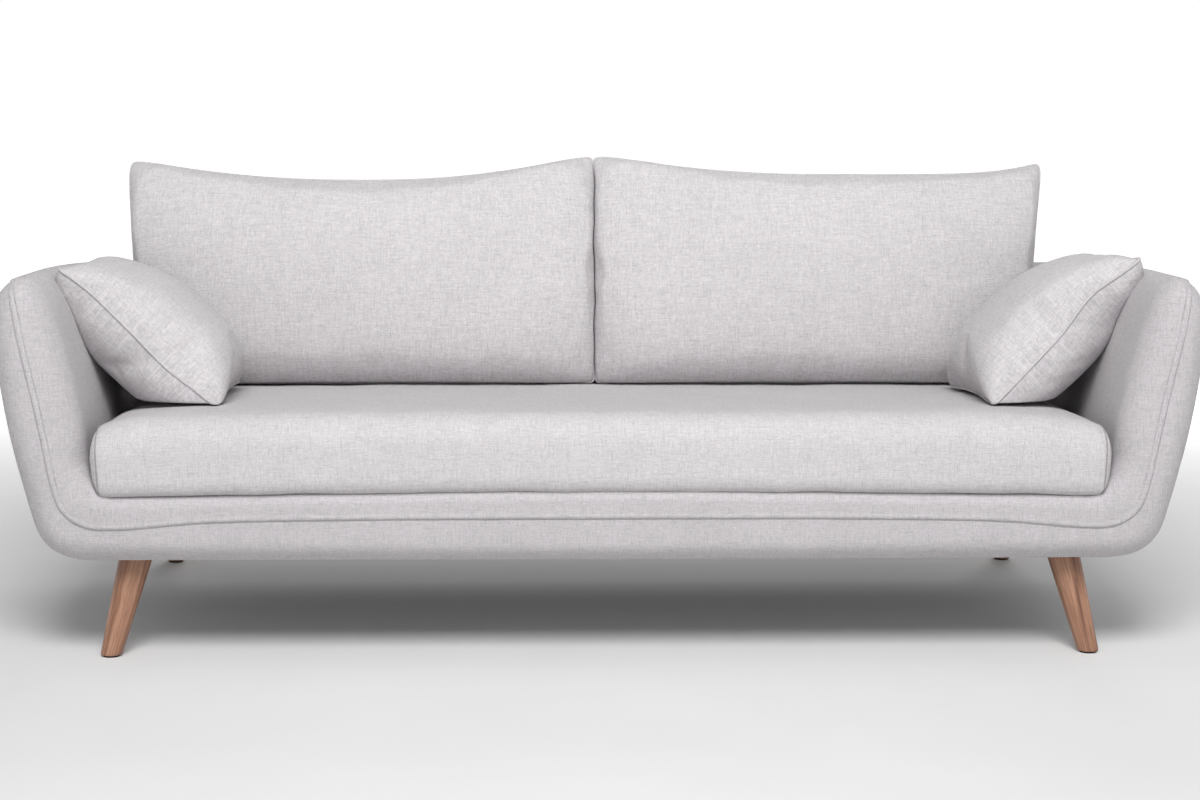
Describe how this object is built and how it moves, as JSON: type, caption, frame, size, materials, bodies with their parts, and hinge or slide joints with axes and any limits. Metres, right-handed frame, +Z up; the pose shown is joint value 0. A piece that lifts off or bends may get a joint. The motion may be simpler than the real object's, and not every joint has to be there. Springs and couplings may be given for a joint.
{
  "type": "sofa",
  "caption": "Upholstered sofa with a flared padded shell, a bench seat cushion, loose back cushions, throw pillows and raked round wooden legs.",
  "frame": {"origin": "on the floor, under the centre of the sofa", "axes": "+X to the sofa's right as seen from the front, +Y from front to back, +Z up"},
  "size_m": [2.032, 0.84, 0.8138],
  "materials": {
    "shell_fabric": "matt woven linen look, pale grey melange",
    "cushion_fabric": "matt woven linen look, pale grey melange",
    "leg_wood": "satin walnut stain, open grain",
    "frame_wood": "bare sawn pine",
    "steel": "zinc plated",
    "dust_cloth": "thin black cloth",
    "felt": "dark brown felt"
  },
  "bodies": {
    "frame": {"arm_front_post_left": "frame_wood", "arm_front_post_right": "frame_wood", "arm_pad_left": "shell_fabric", "arm_pad_right": "shell_fabric", "arm_rear_post_left": "frame_wood", "arm_rear_post_right": "frame_wood", "arm_top_rail_left": "frame_wood", "arm_top_rail_right": "frame_wood", "back_lower_rail": "frame_wood", "back_pad": "shell_fabric", "back_top_rail": "frame_wood", "back_upright_left": "frame_wood", "back_upright_right": "frame_wood", "corner_block_front_left": "frame_wood", "corner_block_front_right": "frame_wood", "corner_block_rear_left": "frame_wood", "corner_block_rear_right": "frame_wood", "cross_bearer_left": "frame_wood", "cross_bearer_right": "frame_wood", "dust_cover": "dust_cloth", "front_border_left": "shell_fabric", "front_border_rail": "shell_fabric", "front_border_right": "shell_fabric", "front_rail": "frame_wood", "front_welt": "shell_fabric", "glide_front_left": "felt", "glide_front_right": "felt", "glide_rear_left": "felt", "glide_rear_right": "felt", "leg_front_left": "leg_wood", "leg_front_right": "leg_wood", "leg_plate_front_left": "steel", "leg_plate_front_right": "steel", "leg_plate_rear_left": "steel", "leg_plate_rear_right": "steel", "leg_rear_left": "leg_wood", "leg_rear_right": "leg_wood", "outside_arm_left": "shell_fabric", "outside_arm_right": "shell_fabric", "outside_back": "shell_fabric", "rear_rail": "frame_wood", "seat_deck": "shell_fabric", "seat_spring_1": "steel", "seat_spring_10": "steel", "seat_spring_2": "steel", "seat_spring_3": "steel", "seat_spring_4": "steel", "seat_spring_5": "steel", "seat_spring_6": "steel", "seat_spring_7": "steel", "seat_spring_8": "steel", "seat_spring_9": "steel", "side_rail_left": "frame_wood", "side_rail_right": "frame_wood", "top_welt": "shell_fabric"},
    "seat_cushion": {"seat_cushion": "cushion_fabric"},
    "back_cushion_left": {"back_cushion_left": "cushion_fabric"},
    "back_cushion_right": {"back_cushion_right": "cushion_fabric"},
    "pillow_left": {"pillow_left": "cushion_fabric"},
    "pillow_right": {"pillow_right": "cushion_fabric"}
  },
  "joints": [
    {"name": "seat_cushion_lift", "type": "slide", "parent": "frame", "child": "seat_cushion", "axis": [0, 0, 1], "range_m": [0, 0.4]},
    {"name": "back_cushion_left_lift", "type": "slide", "parent": "seat_cushion", "child": "back_cushion_left", "axis": [0, 0, 1], "range_m": [0, 0.3]},
    {"name": "back_cushion_right_lift", "type": "slide", "parent": "seat_cushion", "child": "back_cushion_right", "axis": [0, 0, 1], "range_m": [0, 0.3]},
    {"name": "pillow_left_lift", "type": "slide", "parent": "seat_cushion", "child": "pillow_left", "axis": [0, 0, 1], "range_m": [0, 0.26]},
    {"name": "pillow_right_lift", "type": "slide", "parent": "seat_cushion", "child": "pillow_right", "axis": [0, 0, 1], "range_m": [0, 0.26]}
  ]
}
